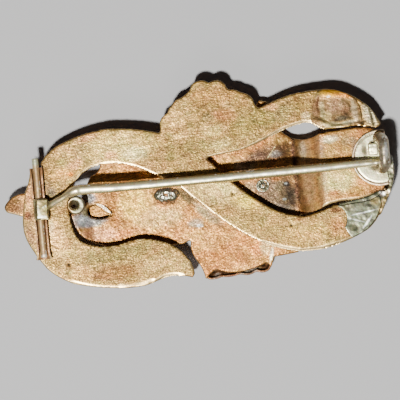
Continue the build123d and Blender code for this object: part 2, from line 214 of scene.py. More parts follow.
def beat(piece, size, depth, direction="NORMAL"):
    """Waves of one size and depth pressed into a piece all over."""
    texture = bpy.data.textures.new(piece.name + "_waves", "CLOUDS")
    texture.noise_scale = size * MM
    texture.noise_depth = 2
    hold(piece)
    bpy.ops.object.modifier_add(type="DISPLACE")
    waves = piece.modifiers[-1]
    waves.texture = texture
    waves.texture_coords = "LOCAL"
    waves.direction = direction
    waves.mid_level = 0.5
    waves.strength = depth * MM
    bpy.ops.object.modifier_apply(modifier=waves.name)


def press(piece, depth, weight_at, direction="Z"):
    """Moves a piece's surface by a depth, as far as a weight from 0 to 1 says at each vertex."""
    hold(piece)
    group = piece.vertex_groups.new(name="pressed")
    for vertex in piece.data.vertices:
        weight = weight_at(vertex.co)
        if weight > 0.001:
            group.add([vertex.index], weight, "REPLACE")
    bpy.ops.object.modifier_add(type="DISPLACE")
    punch = piece.modifiers[-1]
    punch.direction = direction
    punch.mid_level = 0.0
    punch.strength = depth * MM
    punch.vertex_group = group.name
    bpy.ops.object.modifier_apply(modifier=punch.name)
    bpy.ops.object.vertex_group_remove(all=True)


def everywhere(place):
    return 1.0


def near_line(start, end, width):
    """Weight that is 1 on a line seen from above, and fades to 0 at a width from it."""
    start, end = Vector(start) * MM, Vector(end) * MM
    along = end - start

    def weight_at(place):
        flat = place.to_2d()
        share = min(1.0, max(0.0, (flat - start).dot(along) / along.length_squared))
        away = (flat - start - along * share).length / (width * MM)
        return max(0.0, 1.0 - away * away)

    return weight_at


def press_lines(piece, lines):
    """Presses a piece along short lines: start, end, width and depth of each."""
    for start, end, width, depth in lines:
        press(piece, depth, near_line(start, end, width))


# %% [markdown]
# ## Worn edges and their painted highlight
# The upper edge of a sheet is rolled down where it was rubbed. How near each point is to the edge
# is kept as the attribute `rim`, which the finish reads later to paint the edge pale: rubbed metal,
# and a painted highlight along the edges that face the key light.


# %% Rolling an edge
def rim_width(least, reach, lines):
    """Width of the rolled rim, which is painted pale, at a place: a least width everywhere, and more near
    some lines.
    """
    worn = [(width, near_line(start, end, reach)) for start, end, width in lines]
    return lambda place: (least + max(width * weight_at(place) for width, weight_at in worn)) * MM


def wear_edge(piece, node, width_at, slope, below=1.0):
    """Rolls the upper edge down, and keeps how near each point is to it as the attribute `rim`."""
    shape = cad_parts[node].data
    upright = [
        face.vertices[:] for face in shape.polygons if abs(face.normal.z) < 0.5 and face.center.z < below
    ]
    walls = BVHTree.FromPolygons([vertex.co for vertex in shape.vertices], upright)
    rim = piece.data.attributes.new("rim", "FLOAT", "POINT")
    drops = []
    for vertex in piece.data.vertices:
        width = width_at(vertex.co)
        nearest = walls.find_nearest(vertex.co, width)[3]
        weight = 0.0 if nearest is None else 1.0 - nearest / width
        rim.data[vertex.index].value = weight
        drops.append(slope * width * weight * weight if vertex.normal.z > 0.3 else 0.0)
    for vertex, drop in zip(piece.data.vertices, drops):
        vertex.co.z -= drop
    print(piece.name, "has its edge worn along", len(upright), "faces")


# %% [markdown]
# ## The two ribbons' back sheets
# Both sheets are soldered metal about a third of a millimetre thick, sawn out by hand. They keep
# their construction outline and get soft edges and shallow waves. The repairs that stand above the
# upper sheet are cut off it here, and come back below as pieces of their own.

# %% Upper sheet
SHEET_GRAIN = 0.15
PLATE_TOP = 5.0 * MM
SHAVE = 0.004 * MM
LEVEL_UP = (0, 0, 1)

upper_sheet = copy_of("upper_plate", "upper_sheet")
saw_off(upper_sheet, (0, 0, PLATE_TOP + SHAVE), LEVEL_UP)
regrain(upper_sheet, SHEET_GRAIN)
beat(upper_sheet, 5.0, 0.1, "Z")
beat(upper_sheet, 0.9, 0.03)

UPPER_GROOVES = (
    ((23.3, 8.6), (23.7, 5.8), 0.22, -0.14),
    ((24.9, 7.8), (25.25, 5.5), 0.2, -0.12),
    ((-19.22, -9.98), (-19.16, -9.98), 0.22, -0.12),
    ((12.36, -7.46), (12.4, -7.46), 0.2, -0.1),
    ((4.55, -2.2), (4.6, -2.25), 0.26, -0.12),
    ((-22.8, -6.0), (-20.6, -7.4), 0.2, -0.05),
)
press_lines(upper_sheet, UPPER_GROOVES)

# Edges whose rims are rolled and painted pale, mostly those facing the key light: rubbed metal and a painted
# highlight.
UPPER_WORN_AND_LIT = (
    ((-21.8, -9.6), (-18.4, -12.2), 0.4),
    ((-18.4, -12.2), (-12.6, -13.0), 0.62),
    ((-12.2, -13.0), (-8.0, -13.0), 0.85),
    ((-8.0, -13.0), (-2.6, -12.0), 0.5),
    ((-17.8, 1.6), (-14.0, 4.2), 0.2),
    ((-14.0, 4.2), (-10.0, 4.1), 0.24),
    ((-10.0, 4.1), (-5.2, 1.8), 0.2),
    ((-2.0, -1.2), (8.5, -10.0), 0.08),
    ((8.5, -10.0), (13.5, -11.4), 0.68),
    ((13.5, -11.4), (18.5, -10.8), 0.72),
    ((18.5, -10.8), (20.2, -10.0), 0.4),
    ((1.8, 3.8), (8.0, 4.6), 0.3),
    ((8.0, 4.6), (13.5, 6.6), 0.4),
    ((13.5, 6.6), (17.0, 6.9), 0.4),
    ((-24.2, 2.8), (-25.0, -3.6), 0.2),
    ((-25.0, -3.6), (-22.2, -9.4), 0.3),
)
wear_edge(upper_sheet, "upper_plate", rim_width(0.03, 1.0, UPPER_WORN_AND_LIT), 0.24, below=PLATE_TOP)
smooth(upper_sheet)
hand_over(upper_sheet, "gilt", "upper_plate")

# %% Lower sheet
# Edges of the lower sheet rolled and painted pale in the same way: rubbed metal and a painted highlight.
LOWER_WORN_AND_LIT = (
    ((17.4, -4.8), (23.8, -4.6), 0.4),
    ((-28, -2.2), (-25.5, -2.9), 0.4),
)
LIP_FOOT = 2.66 * MM
lip_line = near_line((-14.6, -2.1), (-12.8, -3.4), 1.0)

lower_sheet = copy_of("lower_plate", "lower_sheet")
regrain(lower_sheet, SHEET_GRAIN)
beat(lower_sheet, 4.0, 0.12, "Z")
beat(lower_sheet, 1.0, 0.04)
wear_edge(lower_sheet, "lower_plate", rim_width(0.04, 0.8, LOWER_WORN_AND_LIT), 0.22)
press(lower_sheet, -0.33, lambda place: lip_line(place) if place.z > LIP_FOOT else 0.0)
smooth(lower_sheet)
hand_over(lower_sheet, "copper_gilt", "lower_plate")

# %% [markdown]
# ## The hollow fronts
# The fronts are pressed cushions, soldered under the sheets. Only their sides show from the
# back. Smoothing takes the fine steps of the construction out of their rounded crests.

# %% Cushions
CUSHIONS = {"upper_front": "upper_cushion", "lower_front": "lower_cushion", "end_front": "end_cushion"}
for node, name in CUSHIONS.items():
    cushion = copy_of(node, name)
    regrain(cushion, 0.2, wear=8)
    beat(cushion, 3.0, 0.06)
    press(cushion, -0.03, everywhere, "NORMAL")
    smooth(cushion)
    hand_over(cushion, "copper_gilt", node)

# %% [markdown]
# ## Patch and solder
# Two repairs lie on the upper ribbon: a thin sheet over the right arm, and lead solder that ran
# out over the lower right end. Their outlines are already in the construction as slightly raised
# faces, so those faces are taken off a copy, thickened, and remade with finer grain and bumps.


# %% Taking off a raised repair
RAISED_ABOVE = PLATE_TOP + 0.06 * MM


def raised_piece(name, low, high, thickness):
    """The raised top faces of the upper ribbon inside a window, thickened downwards."""
    piece = copy_of("upper_plate", name)

    def outside(face):
        middle = face.center / MM
        inside = low[0] < middle.x < high[0] and low[1] < middle.y < high[1]
        return not (inside and face.center.z > RAISED_ABOVE and faces_up(face))

    pick(piece, "FACE", outside)
    bpy.ops.mesh.delete(type="FACE")
    bpy.ops.mesh.select_all(action="SELECT")
    pull((0, 0, -thickness * MM))
    bpy.ops.mesh.select_all(action="SELECT")
    bpy.ops.mesh.normals_make_consistent(inside=False)
    end_edit()
    print(name, "starts from", len(piece.data.polygons), "faces")
    return piece


# %% Patch and solder
PATCH_RIDGES = (
    ((17.2, 6.9), (19.4, 5.7), 0.5, 0.06),
    ((19.4, 5.7), (23.2, 5.8), 0.35, 0.05),
    ((17.6, 10.6), (21.6, 10.2), 0.7, 0.12),
)
arm_patch = raised_piece("arm_patch", (14, 3), (26, 13), 0.22)
regrain(arm_patch, 0.08, wear=4)
beat(arm_patch, 2.2, 0.16, "Z")
beat(arm_patch, 0.8, 0.03)
press_lines(arm_patch, PATCH_RIDGES)
smooth(arm_patch)
hand_over(arm_patch, "gilt")

end_solder = raised_piece("end_solder", (16, -12), (27, -3), 0.26)
regrain(end_solder, 0.08, wear=4)
beat(end_solder, 1.8, 0.12, "Z")
beat(end_solder, 0.7, 0.02)
smooth(end_solder)
hand_over(end_solder, "nickel")

# %% [markdown]
# ## Hinge
# The rod lies in two channels of thin bent sheet, with the pin's knuckle between them. A channel
# starts as a tube, is cut along its middle, and its two edges are pulled up into walls. The walls
# flare a little at the ends, as they do where a jeweller opens them with a punch.

# %% Channels
rod_low, rod_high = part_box("hinge_rod")
ROD_X = (rod_low.x + rod_high.x) / 2
ROD_Z = (rod_low.z + rod_high.z) / 2
CHANNEL_WALL = 0.24 * MM
CHANNEL_RISE = 0.42 * MM
CHANNEL_PARTS = 14
FLARE_REACH = 1.3 * MM
FLARE_SINK = 0.2 * MM
FLARE_LEAN = 0.55
HAIR = 0.001 * MM


def bent_channel(node, name, flare_end, flare):
    """Channel of bent sheet in the place of one trough, with one end opened by a share."""
    low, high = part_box(node)
    middle_x = (low.x + high.x) / 2
    length = high.y - low.y
    channel = started(
        name, bpy.ops.mesh.primitive_cylinder_add, vertices=48, radius=(high.x - low.x) / 2, depth=length,
        location=(middle_x, (low.y + high.y) / 2, ROD_Z), rotation=(pi / 2, 0, 0), end_fill_type="NOTHING"
    )
    edit_all(channel)
    bpy.ops.mesh.bisect(plane_co=(0, 0, ROD_Z), plane_no=LEVEL_UP, clear_outer=True)
    for step in range(1, CHANNEL_PARTS):
        bpy.ops.mesh.select_all(action="SELECT")
        cut = low.y + length * step / CHANNEL_PARTS
        bpy.ops.mesh.bisect(plane_co=(0, cut, 0), plane_no=(0, 1, 0))
    end_edit()

    def at_cut(edge):
        return all(abs(channel.data.vertices[index].co.z - ROD_Z) < HAIR for index in edge.vertices)

    pick(channel, "EDGE", at_cut)
    pull((0, 0, CHANNEL_RISE))
    bpy.ops.mesh.select_mode(type="VERT")
    end_edit()
    end_y = low.y if flare_end < 0 else high.y
    for vertex in channel.data.vertices:
        away = abs(vertex.co.y - end_y)
        if away < FLARE_REACH:
            share = (1 - away / FLARE_REACH) ** 2
            vertex.co.x = middle_x + (vertex.co.x - middle_x) * (1 + flare * share)
            if vertex.co.z > ROD_Z:
                vertex.co.z -= FLARE_LEAN * share * (vertex.co.z - ROD_Z) + FLARE_SINK * share
    bpy.ops.object.modifier_add(type="SOLIDIFY")
    channel.modifiers[-1].thickness = CHANNEL_WALL
    channel.modifiers[-1].offset = -1
    bevel(channel, 0.06, 2)
    settle(channel)
    return channel


upper_channel = bent_channel("hinge_trough_upper", "upper_channel", 1, 0.04)
hand_over(upper_channel, "gilt", "hinge_trough_upper")
lower_channel = bent_channel("hinge_trough_lower", "lower_channel", -1, 0.28)
hand_over(lower_channel, "gilt", "hinge_trough_lower")

# %% [markdown]
# The rod is a plain wire, filed off at its ends. A cylinder gets bevelled ends, a fine grain and
# shallow waves, which leave it a little uneven.

# %% Rod
rod = started(
    "rod", bpy.ops.mesh.primitive_cylinder_add, vertices=40, radius=(rod_high.x - rod_low.x) / 2,
    depth=rod_high.y - rod_low.y, location=(ROD_X, (rod_low.y + rod_high.y) / 2, ROD_Z),
    rotation=(pi / 2, 0, 0)
)
bevel(rod, 0.12, 3)
regrain(rod, 0.07, wear=2)
beat(rod, 0.8, 0.05)
settle(rod)
hand_over(rod, "nickel", "hinge_rod")

# %% [markdown]
# ## Pin
# The pin is drawn wire, bent by hand and soldered into a block of wrapped sheet. Remaking it with
# fine grain rounds the solder joint, and long shallow waves leave it as straight as a hand leaves
# it. Years of wiping have worn its top a little flat. The lap of the wrapped sheet is a thin plate
# of its own on top of the block. It ends short of the upper sheet, so that the pin can swing open.

# %% Pin
def along_pin(start, end, fade):
    """Weight that is 1 from one place along the pin to another, and fades out smoothly beyond."""

    def weight_at(place):
        away = max(start - place.x / MM, place.x / MM - end, 0.0) / fade
        return max(0.0, 1.0 - away * away) ** 2

    return weight_at


PIN_WORK = (
    (0.08, -17.0, 24.0, 1.6, "NORMAL"),
    (0.04, -17.5, -14.0, 3.5, "NORMAL"),
    (0.04, 20.5, 23.8, 2.0, "NORMAL"),
    (0.1, -16.4, -15.4, 3.4, "Y"),
    (-0.26, -20.4, -19.8, 1.6, "Y"),
    (-0.06, -5.0, 2.0, 9.0, "Y"),
    (0.04, 22.0, 27.0, 8.0, "Y"),
    (-0.12, -20.4, -19.2, 1.3, "NORMAL"),
)
pin_wire = copy_of("pin", "pin_wire")
regrain(pin_wire, 0.09, wear=6)
for depth, start, end, fade, direction in PIN_WORK:
    press(pin_wire, depth, along_pin(start, end, fade), direction)
beat(pin_wire, 2.5, 0.07)
press(pin_wire, -0.07, near_line((-16.5, 0.17), (24.5, 0.22), 0.5), "NORMAL")
smooth(pin_wire)
hand_over(pin_wire, "nickel", "pin", body="pin")

# %% Lap of the knuckle
KNUCKLE_TOP = ROD_Z + 1.1 * MM
LAP_MIDDLE = (ROD_X + 0.42 * MM, -1.86 * MM, KNUCKLE_TOP - 0.03 * MM)
LAP_SIZE = (1.56 * MM, 2.72 * MM, 0.2 * MM)
LAP_TURN = radians(-4)

knuckle_lap = started(
    "knuckle_lap", bpy.ops.mesh.primitive_cube_add, LAP_SIZE, size=1.0, location=LAP_MIDDLE,
    rotation=(0, 0, LAP_TURN)
)
bevel(knuckle_lap, 0.08, 2)
regrain(knuckle_lap, 0.07)
beat(knuckle_lap, 0.9, 0.08, "Z")
settle(knuckle_lap)
hand_over(knuckle_lap, "nickel", body="pin")

# %% [markdown]
# ## Catch
# The catch is a nickel disc with a groove turned round its rim, a hook of thick wire and a small
# tab. The disc starts as a cylinder whose top is inset and pushed down and up again, and is cut off
# straight at the brooch's end. The hook is a circle that is pulled up, spun round a quarter turn,
# pulled across, spun again and pulled down. It leans, and tapers towards its root.


# %% Disc
def turned(piece, steps):
    """Insets a piece's top in steps, each an inset and a lift, as if it were turned on a lathe."""
    pick(piece, "FACE", faces_up)
    for inset, lift in steps:
        bpy.ops.mesh.inset(thickness=inset * MM, depth=0)
        bpy.ops.transform.translate(value=(0, 0, lift * MM))
    end_edit()


DISC_RADIUS = 3.95 * MM
DISC_SHEET = 0.4 * MM
DISC_MIDDLE = (25.58 * MM, 0.84 * MM, 5.25 * MM)
DISC_TRIM = 26.57 * MM
DISC_STEPS = ((0.34, 0.0), (0.08, -0.08), (0.06, 0.0), (0.1, 0.06), (0.9, -0.04), (0.9, -0.03))

catch_disc = started(
    "catch_disc", bpy.ops.mesh.primitive_cylinder_add, vertices=96, radius=DISC_RADIUS, depth=DISC_SHEET,
    location=DISC_MIDDLE
)
turned(catch_disc, DISC_STEPS)
saw_off(catch_disc, (DISC_TRIM, 0, 0), (1, 0, 0))
regrain(catch_disc, 0.09, wear=2)
beat(catch_disc, 1.3, 0.05, "Z")
settle(catch_disc)
hand_over(catch_disc, "nickel", "catch")

# %% Hook
HOOK_X = 26.12 * MM
HOOK_RADIUS = 0.77 * MM
HOOK_BEND = 1.55 * MM
HOOK_ROOT_Y = -0.88 * MM
HOOK_FREE_Y = 3.62 * MM
HOOK_BASE = 5.3 * MM
HOOK_ARCH = 8.58 * MM
HOOK_END = 6.4 * MM
BEND_HEIGHT = HOOK_ARCH - HOOK_BEND


def quarter_turn(middle_y):
    """Spins the wire's end over, about a line along X."""
    bpy.ops.mesh.spin(steps=12, angle=pi / 2, center=(HOOK_X, middle_y, BEND_HEIGHT), axis=(1, 0, 0))


def towards_root(place):
    """Weight that grows over the last millimetre towards the hook's root."""
    return min(1.0, max(0.0, -0.1 - place.y / MM))


def below_arch(place):
    """Weight that grows downwards from the hook's arch, and is full 1.8 mm below."""
    return min(1.0, max(0.0, (8.3 - place.z / MM) / 1.8))


catch_hook = started(
    "catch_hook", bpy.ops.mesh.primitive_circle_add, vertices=32, radius=HOOK_RADIUS, fill_type="NGON",
    location=(HOOK_X, HOOK_ROOT_Y, HOOK_BASE)
)
edit_all(catch_hook)
pull((0, 0, BEND_HEIGHT - HOOK_BASE))
quarter_turn(HOOK_ROOT_Y + HOOK_BEND)
pull((0, HOOK_FREE_Y - HOOK_ROOT_Y - 2 * HOOK_BEND, 0))
quarter_turn(HOOK_FREE_Y - HOOK_BEND)
pull((0, 0, HOOK_END - BEND_HEIGHT))
end_edit()
print("hook spans", tuple(catch_hook.dimensions))
settle(catch_hook)
regrain(catch_hook, 0.09, wear=4)
press(catch_hook, -0.15, towards_root, "NORMAL")
press(catch_hook, -0.62, below_arch, "X")
beat(catch_hook, 1.1, 0.07)
settle(catch_hook)
hand_over(catch_hook, "nickel")

# %% Tab
TAB_MIDDLE = (24.74 * MM, 2.12 * MM, 5.8 * MM)
TAB_SIZE = (1.4 * MM, 1.7 * MM, 1.0 * MM)

catch_tab = started("catch_tab", bpy.ops.mesh.primitive_cube_add, TAB_SIZE, size=1.0, location=TAB_MIDDLE)
bevel(catch_tab, 0.2, 3)
regrain(catch_tab, 0.08)
beat(catch_tab, 0.8, 0.1)
settle(catch_tab)
hand_over(catch_tab, "nickel")

# %% [markdown]
# ## Ring
# A small ring for a safety chain stands beside the hinge. A short cylinder is inset at both ends,
# the lower inner ring is drawn in, and the two are bridged. That makes a hole like a funnel, which
# stands a little off the middle.


# %% Chain ring
def at_end(face):
    return abs(face.normal.z) > 0.9


def in_end(face):
    """The flat end that an inset leaves, which is the only face there with many corners."""
    return at_end(face) and len(face.vertices) > 4


ring_low, ring_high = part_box("chain_ring")
RING_RADIUS = (ring_high.x - ring_low.x) / 2
RING_HOLE = 0.7 * MM
HOLE_SHIFT = (-0.2 * MM, 0.06 * MM, 0)
FUNNEL_SHIFT = (-0.12 * MM, -0.26 * MM, 0)
FUNNEL_SHARE = (0.55, 0.45, 1.0)

chain_loop = started(
    "chain_loop", bpy.ops.mesh.primitive_cylinder_add, vertices=48, radius=RING_RADIUS,
    depth=ring_high.z - ring_low.z, location=(ring_low + ring_high) / 2
)
pick(chain_loop, "FACE", at_end)
bpy.ops.mesh.inset(thickness=RING_RADIUS - RING_HOLE, depth=0)
bpy.ops.transform.translate(value=HOLE_SHIFT)
end_edit()
pick(chain_loop, "FACE", lambda face: in_end(face) and face.normal.z < 0)
bpy.ops.transform.resize(value=FUNNEL_SHARE)
bpy.ops.transform.translate(value=FUNNEL_SHIFT)
end_edit()
pick(chain_loop, "FACE", in_end)
bpy.ops.mesh.bridge_edge_loops()
end_edit()
bevel(chain_loop, 0.15, 3)
regrain(chain_loop, 0.07, wear=5)
press(chain_loop, 0.09, everywhere, "NORMAL")
beat(chain_loop, 0.9, 0.09)
settle(chain_loop)
hand_over(chain_loop, "nickel", "chain_ring")

# %% [markdown]
# ## Solder lump and rivet
# The left stone's post is drowned in a lump of solder, and the right one is riveted over. The lump
# is a ball pressed flat and made uneven. The rivet is a short cylinder with rings inset in its top.

# %% Lump
LUMP_MIDDLE = (-4.68 * MM, -1.53 * MM, 2.65 * MM)
LUMP_SIZE = (1.86 * MM, 1.02 * MM, 0.68 * MM)
LUMP_FOOT = LUMP_MIDDLE[2] - 0.1 * MM

solder_lump = started(
    "solder_lump", bpy.ops.mesh.primitive_uv_sphere_add, LUMP_SIZE, segments=48, ring_count=24, radius=1.0,
    location=LUMP_MIDDLE
)
saw_off(solder_lump, (0, 0, LUMP_FOOT), (0, 0, -1))
regrain(solder_lump, 0.06, wear=1)
beat(solder_lump, 0.7, 0.3)
beat(solder_lump, 0.25, 0.06)
settle(solder_lump)
hand_over(solder_lump, "nickel")

# %% Rivet
RIVET_MIDDLE = (8.92 * MM, -1.53 * MM, 2.76 * MM)
RIVET_RADIUS = 0.9 * MM
RIVET_HEIGHT = 0.34 * MM
RIVET_STEPS = ((0.14, 0.0), (0.08, -0.1), (0.1, 0.0), (0.08, 0.2), (0.12, 0.12), (0.12, 0.06))

rivet_head = started(
    "rivet_head", bpy.ops.mesh.primitive_cylinder_add, vertices=48, radius=RIVET_RADIUS, depth=RIVET_HEIGHT,
    location=RIVET_MIDDLE
)
turned(rivet_head, RIVET_STEPS)
regrain(rivet_head, 0.05, wear=2)
beat(rivet_head, 0.5, 0.1)
settle(rivet_head)
hand_over(rivet_head, "nickel")

# %% [markdown]
# ## Torn sheet
# Beside the hinge the lower ribbon is torn open. The torn tongue still lies in the hole, and the
# edge across it is bent up into a thin flap. Plates with a ragged outline start as a filled circle
# whose points are put in their places, and are then pulled to their thickness.


# %% Ragged plates
def ragged_plate(name, corners, top, thickness, grain, wave, lumps):
    """Plate with an outline through corners, made uneven by waves of one size and depth."""
    plate = started(
        name, bpy.ops.mesh.primitive_circle_add, vertices=len(corners), radius=1.0 * MM, fill_type="NGON",
        location=(0, 0, 0)
    )
    for vertex, corner in zip(plate.data.vertices, corners):
        vertex.co = Vector((corner[0] * MM, corner[1] * MM, top * MM))
    edit_all(plate)
    pull((0, 0, -thickness * MM))
    end_edit()
    settle(plate)
    regrain(plate, grain)
    beat(plate, wave, lumps, "Z")
    settle(plate)
    return plate


# %% Tongue
TONGUE_CORNERS = (
    (-15.62, -2.3), (-15.72, -2.8), (-15.55, -3.35), (-15.05, -3.62), (-14.4, -3.74), (-13.7, -3.7),
    (-13.05, -3.58), (-13.35, -3.2), (-13.85, -2.85), (-14.25, -2.45), (-14.65, -2.1), (-15.15, -2.08),
)
torn_tongue = ragged_plate("torn_tongue", TONGUE_CORNERS, 2.52, 0.22, 0.07, 1.2, 0.1)
hand_over(torn_tongue, "copper_gilt")

# %% Flap
FLAP_POINTS = (
    (-14.7, -1.95, 0.02, 0.1),
    (-14.35, -2.1, 0.07, 0.3),
    (-13.95, -2.42, 0.1, 0.36),
    (-13.55, -2.76, 0.09, 0.3),
    (-13.15, -3.1, 0.09, 0.3),
    (-12.72, -3.44, 0.02, 0.1),
)
FLAP_SIDE = Vector((0.6, 0.8, 0))
FLAP_FOOT = 2.68
FLAP_SHEET = 0.16 * MM

torn_flap = started(
    "torn_flap", bpy.ops.mesh.primitive_grid_add, x_subdivisions=len(FLAP_POINTS) - 1, y_subdivisions=2,
    size=1.0
)
rows = sorted(torn_flap.data.vertices, key=lambda vertex: (round(vertex.co.x, 4), vertex.co.y))
for number, vertex in enumerate(rows):
    x, y, rise, width = FLAP_POINTS[number // 3]
    across = number % 3 / 2
    vertex.co = (Vector((x, y, FLAP_FOOT + rise * across)) + FLAP_SIDE * width * across) * MM
bpy.ops.object.modifier_add(type="SUBSURF")
torn_flap.modifiers[-1].levels = 3
torn_flap.modifiers[-1].render_levels = 3
bpy.ops.object.modifier_add(type="SOLIDIFY")
torn_flap.modifiers[-1].thickness = FLAP_SHEET
torn_flap.modifiers[-1].offset = 0
apply_modifiers(torn_flap)
beat(torn_flap, 0.35, 0.12)
settle(torn_flap)
hand_over(torn_flap, "nickel")

# %% [markdown]
# ## Solder round the end
# Between the catch's disc and the end's rim runs a strip of smoothed solder, which widens below
# into the lumps that tie the two ribbons together. A seam of solder fills the gap between them.

# %% Strip and seam
STRIP_CORNERS = (
    (27.1, 1.15), (26.86, 0.9), (26.62, 0.3), (26.6, -1.5), (26.5, -3.2), (26.1, -3.75),
    (25.3, -3.85), (24.8, -4.1), (24.75, -4.9), (25.1, -5.6), (24.9, -6.6), (24.6, -7.3),
    (25.05, -7.05), (25.55, -6.2), (26.0, -5.25), (26.55, -4.3), (27.1, -3.0), (27.38, -1.6),
    (27.44, -0.2), (27.36, 0.8),
)
SEAM_CORNERS = (
    (19.3, -5.0), (20.4, -4.82), (21.5, -4.68), (22.6, -4.52), (23.6, -4.3), (24.6, -3.95),
    (25.3, -3.6), (25.5, -4.1), (24.8, -4.6), (23.8, -4.95), (22.6, -5.2), (21.5, -5.35),
    (20.4, -5.5), (19.3, -5.6),
)
end_strip = ragged_plate("end_strip", STRIP_CORNERS, 5.04, 0.4, 0.09, 0.9, 0.16)
hand_over(end_strip, "nickel")
seam_solder = ragged_plate("seam_solder", SEAM_CORNERS, 5.1, 0.4, 0.09, 0.9, 0.06)
hand_over(seam_solder, "nickel")

# %% [markdown]
# ## Finishes
# Old gilding is never one colour. Each finish below is made of cloudy patterns of several sizes:
# wide stains, a middle mottling, brushed streaks and a fine speckle of dirt and bright grains.
# Edges that stand out are painted pale, as rubbed metal and as a painted highlight, and creases are
# painted darker. All patterns are laid out in millimetres on the object's own coordinates.


# %% Screen colours
def tone(red, green, blue):
    """Colour given in screen values, as the linear colour that nodes take."""
    return tuple((part / 255) ** 2.2 for part in (red, green, blue)) + (1.0,)


# %% Finish bench
class Finish:
    """One material on its pieces, and the patterns that its colour, roughness and relief are made of."""

    def __init__(self, name, pieces, metallic):
        self.material = bpy.data.materials.new(name)
        for piece in pieces:
            bpy.data.objects[piece].data.materials.clear()
            bpy.data.objects[piece].data.materials.append(self.material)
        print(name, "is worn by", *pieces)
        self.material.use_nodes = True
        self.tree = self.material.node_tree
        self.shader = self.tree.nodes["Principled BSDF"]
        self.shader.inputs["Metallic"].default_value = metallic
        self.place = self.add("ShaderNodeTexCoord", {}).outputs["Object"]
        self.sharp = self.add("ShaderNodeNewGeometry", {}).outputs["Pointiness"]
        self.rim = self.add("ShaderNodeAttribute", {}, attribute_name="rim").outputs["Fac"]
        self.waver = self.cloud(0.8, shift=23.0, detail=3.0)

    def add(self, kind, inputs, **settings):
        made = self.tree.nodes.new(kind)
        for key, value in settings.items():
            setattr(made, key, value)
        for socket, value in inputs.items():
            if isinstance(value, bpy.types.NodeSocket):
                self.tree.links.new(value, made.inputs[socket])
            else:
                made.inputs[socket].default_value = value
        return made

    def mapped(self, centre, size, turn):
        """Coordinates measured from a centre, in units of a size, turned about Z."""
        centre, size = (tuple(part * MM for part in parts) for parts in (centre, size))
        inputs = {"Vector": self.place, "Location": centre, "Rotation": (0, 0, radians(turn)), "Scale": size}
        return self.add("ShaderNodeMapping", inputs, vector_type="TEXTURE").outputs["Vector"]

    def noise(self, size, turn=0.0, shift=0.0, detail=4.0, rough=0.55):
        """Cloudy pattern whose patches are about size millimetres."""
        size = size if isinstance(size, tuple) else (size, size, size)
        spread = self.mapped((shift, -shift, shift), size, turn)
        inputs = {"Vector": spread, "Scale": 1.0, "Detail": detail, "Roughness": rough}
        return self.add("ShaderNodeTexNoise", inputs)

    def cloud(self, size, turn=0.0, shift=0.0, detail=4.0, rough=0.55):
        return self.noise(size, turn, shift, detail, rough).outputs["Fac"]

    def between(self, value, low, high, to_low=0.0, to_high=1.0):
        """The value from low to high stretched smoothly to another range."""
        inputs = {"Value": value, "From Min": low, "From Max": high, "To Min": to_low, "To Max": to_high}
        return self.add("ShaderNodeMapRange", inputs, interpolation_type="SMOOTHSTEP").outputs["Result"]

    def maths(self, operation, first, second):
        return self.add("ShaderNodeMath", {0: first, 1: second}, operation=operation).outputs["Value"]

    def times(self, first, second):
        return self.maths("MULTIPLY", first, second)

    def blend(self, factor, below, above, kind="MIX"):
        """One colour over another, as far as the factor says. Colours given in screen values are made linear.
        """
        below, above = (tone(*hue) if isinstance(hue, tuple) else hue for hue in (below, above))
        node = self.add("ShaderNodeMix", {0: factor, 6: below, 7: above}, data_type="RGBA", blend_type=kind)
        return node.outputs[2]

    def tinted(self, hue, size, amount, shift):
        """The colour with a fine mottle in which red, green and blue wander by themselves."""
        wander = self.noise(size, shift=shift, detail=1.0, rough=0.5).outputs["Color"]
        inputs = {0: wander, 1: (amount,) * 3, 2: (1 - amount / 2,) * 3}
        light = self.add("ShaderNodeVectorMath", inputs, operation="MULTIPLY_ADD").outputs["Vector"]
        return self.shaded(hue, light)

    def shaded(self, hue, light):
        """The colour made lighter or darker by a pattern around 1."""
        return self.blend(1.0, hue, light, "MULTIPLY")

    def spot(self, centre, size, turn=0.0, soft=0.5, ragged=0.45):
        """Oval mark seen from above, full inside and ragged at its edge."""
        here = self.mapped((centre[0], centre[1], 0), (size[0], size[1], 1000), turn)
        distance = self.add("ShaderNodeVectorMath", {0: here}, operation="LENGTH").outputs["Value"]
        distance = self.maths("ADD", distance, self.times(self.waver, 2 * ragged))
        return self.between(distance, 1 + ragged + soft, 1 + ragged - soft)

    def marked(self, hue, marks):
        """The colour with single marks on it, each a row of a table of marks."""
        for x, y, wide, deep, colour, strength, *shape in marks:
            stain = self.times(self.spot((x, y), (wide, deep), *shape), strength)
            hue = self.blend(stain, hue, colour)
        return hue

    def relief(self, height, depth, strength=1.0):
        """Fine relief in millimetres."""
        node = self.add("ShaderNodeBump", {"Height": height, "Strength": strength, "Distance": depth * MM})
        self.give("Normal", node.outputs["Normal"])

    def give(self, socket, value):
        """Leads a pattern into one socket of the shader."""
        self.tree.links.new(value, self.shader.inputs[socket])
